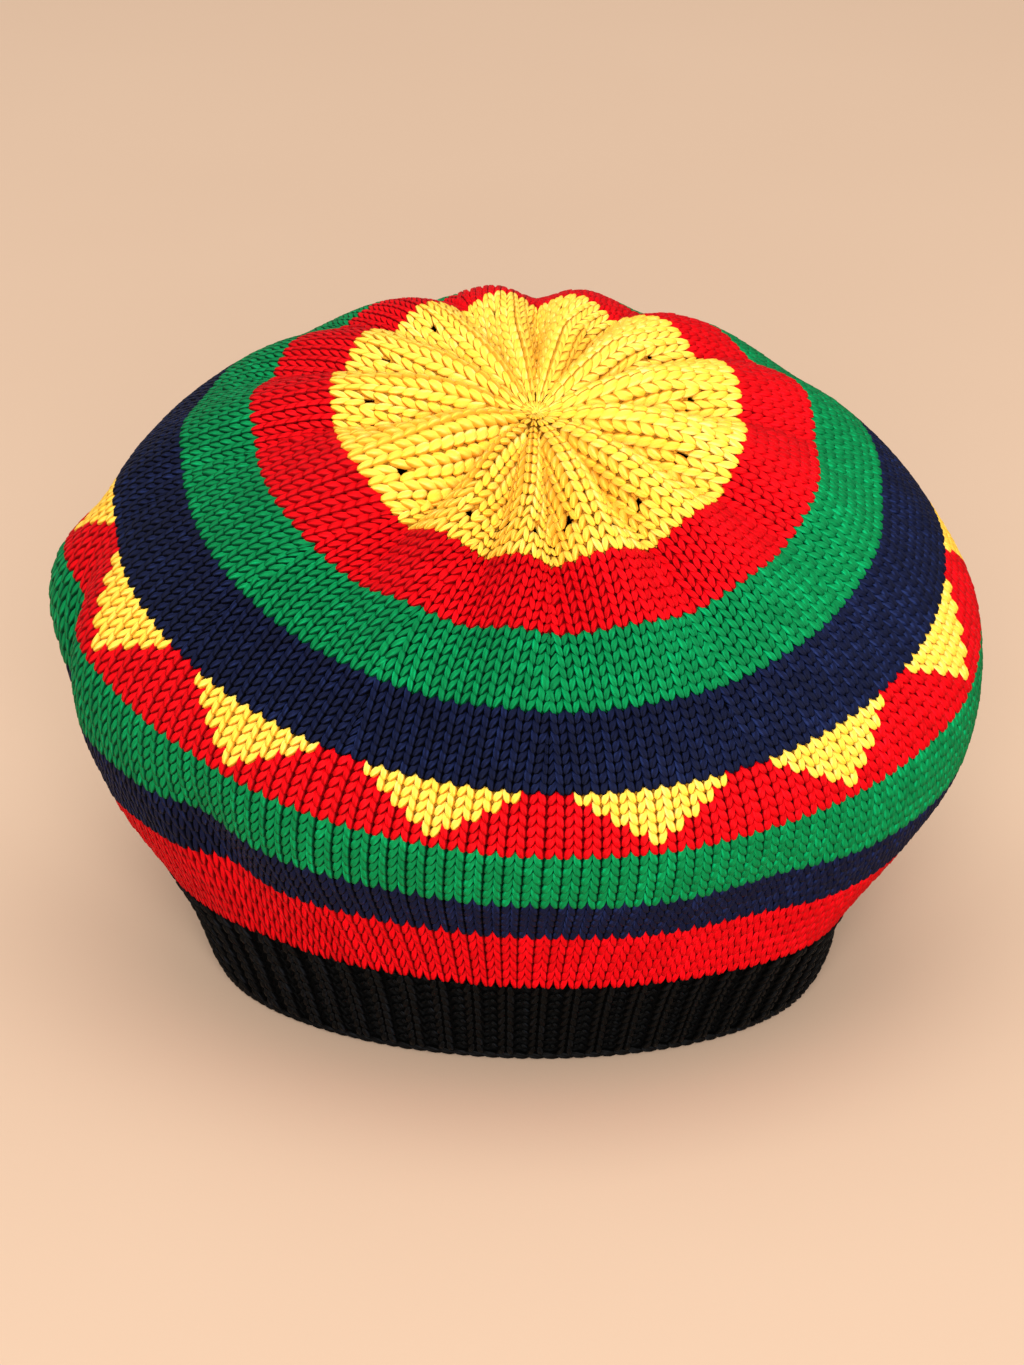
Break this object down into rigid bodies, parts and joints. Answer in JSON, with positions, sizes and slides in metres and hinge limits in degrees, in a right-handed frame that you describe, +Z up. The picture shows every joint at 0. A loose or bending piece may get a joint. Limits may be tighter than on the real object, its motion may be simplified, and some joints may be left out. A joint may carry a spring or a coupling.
{
  "type": "knitted tam",
  "caption": "Slouchy striped knit tam with a gathered crown, coloured rings, a band of triangles and a ribbed headband, resting on its hem.",
  "frame": {"origin": "on the surface that the hem rests on, under the middle of the hat's outline", "axes": "+Z up, -Y towards the front of the hat, +X towards its right as seen from the front"},
  "size_m": [0.294, 0.2584, 0.1996],
  "materials": {
    "yellow_knit": "bright yellow yarn, plain knitting",
    "red_knit": "red yarn, plain knitting",
    "green_knit": "green yarn, plain knitting",
    "navy_knit": "navy yarn, plain knitting",
    "black_rib": "black yarn, one-and-one rib"
  },
  "bodies": {
    "root": {"lower_green_ring": "green_knit", "lower_navy_ring": "navy_knit", "lower_red_ring": "red_knit", "red_zigzag_band": "red_knit", "ribbed_headband": "black_rib", "upper_green_ring": "green_knit", "upper_navy_ring": "navy_knit", "upper_red_ring": "red_knit", "yellow_crown": "yellow_knit", "yellow_triangle_1": "yellow_knit", "yellow_triangle_10": "yellow_knit", "yellow_triangle_11": "yellow_knit", "yellow_triangle_12": "yellow_knit", "yellow_triangle_13": "yellow_knit", "yellow_triangle_2": "yellow_knit", "yellow_triangle_3": "yellow_knit", "yellow_triangle_4": "yellow_knit", "yellow_triangle_5": "yellow_knit", "yellow_triangle_6": "yellow_knit", "yellow_triangle_7": "yellow_knit", "yellow_triangle_8": "yellow_knit", "yellow_triangle_9": "yellow_knit"}
  },
  "joints": []
}
